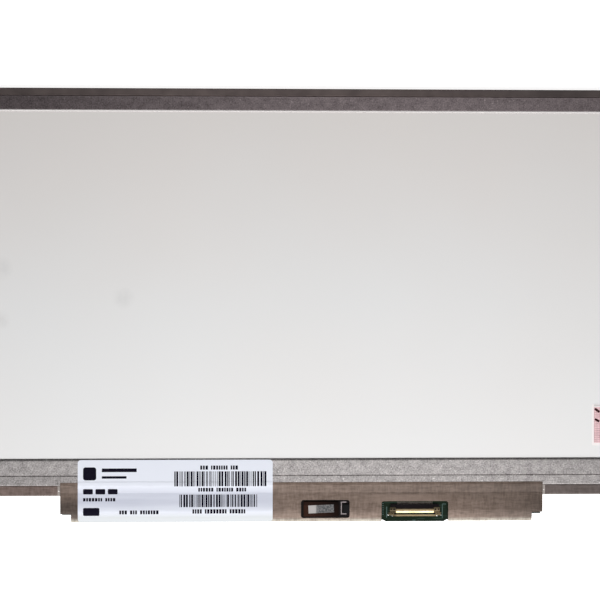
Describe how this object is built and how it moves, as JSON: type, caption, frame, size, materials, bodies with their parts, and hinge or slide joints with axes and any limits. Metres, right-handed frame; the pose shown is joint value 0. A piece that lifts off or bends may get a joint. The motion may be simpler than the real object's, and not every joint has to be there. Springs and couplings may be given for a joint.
{
  "type": "laptop lcd panel",
  "caption": "Slim laptop display module lying face down: moulded frame, pressed metal back frame round a white reflector sheet, and a covered board with a signal socket along its lower edge.",
  "frame": {"origin": "middle of the module's outline, on the surface that its front rim lies on", "axes": "+X along the long side, +Y towards the upper edge, +Z from the display face to the back"},
  "size_m": [0.29, 0.1796, 0.0032],
  "materials": {
    "frame_plastic": "moulded, pale",
    "frame_metal": "textured coated sheet",
    "carrier_metal": "textured sheet",
    "reflector_film": "smooth white film",
    "guide_acrylic": "clear polished",
    "diffuser_film": "frosted",
    "prism_film": "fine ribbed",
    "black_tape": "matt tape",
    "polariser_film": "satin film",
    "cell_glass": "clear",
    "flex_film": "amber film",
    "lamp_body": "white lamp body",
    "chip_resin": "moulded resin",
    "board_laminate": "dark green mask",
    "ferrite": "sintered",
    "capacitor_ceramic": "sintered",
    "code_foil": "silver foil paper",
    "socket_plastic": "moulded black",
    "socket_gilt": "gold plated",
    "cover_film": "brown conductive film",
    "edge_tape": "smooth dark tape",
    "label_paper": "smooth white",
    "sticker_paper": "pink print"
  },
  "bodies": {
    "root": {"mould_frame": "frame_plastic", "back_frame": "frame_metal", "led_carrier": "carrier_metal", "reflector_sheet": "reflector_film", "light_guide_plate": "guide_acrylic", "lower_diffuser": "diffuser_film", "upper_diffuser": "diffuser_film", "lower_prism_sheet": "prism_film", "upper_prism_sheet": "prism_film", "rim_tape": "black_tape", "rear_polariser": "polariser_film", "front_polariser": "polariser_film", "array_glass": "cell_glass", "colour_filter_glass": "cell_glass", "led_flex": "flex_film", "leds": "lamp_body", "driver_film_1": "flex_film", "driver_film_2": "flex_film", "driver_film_3": "flex_film", "driver_chip_1": "chip_resin", "driver_chip_2": "chip_resin", "driver_chip_3": "chip_resin", "circuit_board": "board_laminate", "timing_chip": "chip_resin", "rectifier_diode": "chip_resin", "led_driver_chip": "chip_resin", "power_inductor": "ferrite", "capacitors": "capacitor_ceramic", "code_label": "code_foil", "connector_housing": "socket_plastic", "connector_shell": "socket_gilt", "connector_contacts": "socket_gilt", "board_cover": "cover_film", "upper_edge_tape": "edge_tape", "lower_edge_tape_left": "cover_film", "lower_edge_tape_right": "cover_film", "panel_label": "label_paper", "seal_sticker": "sticker_paper"}
  },
  "joints": []
}
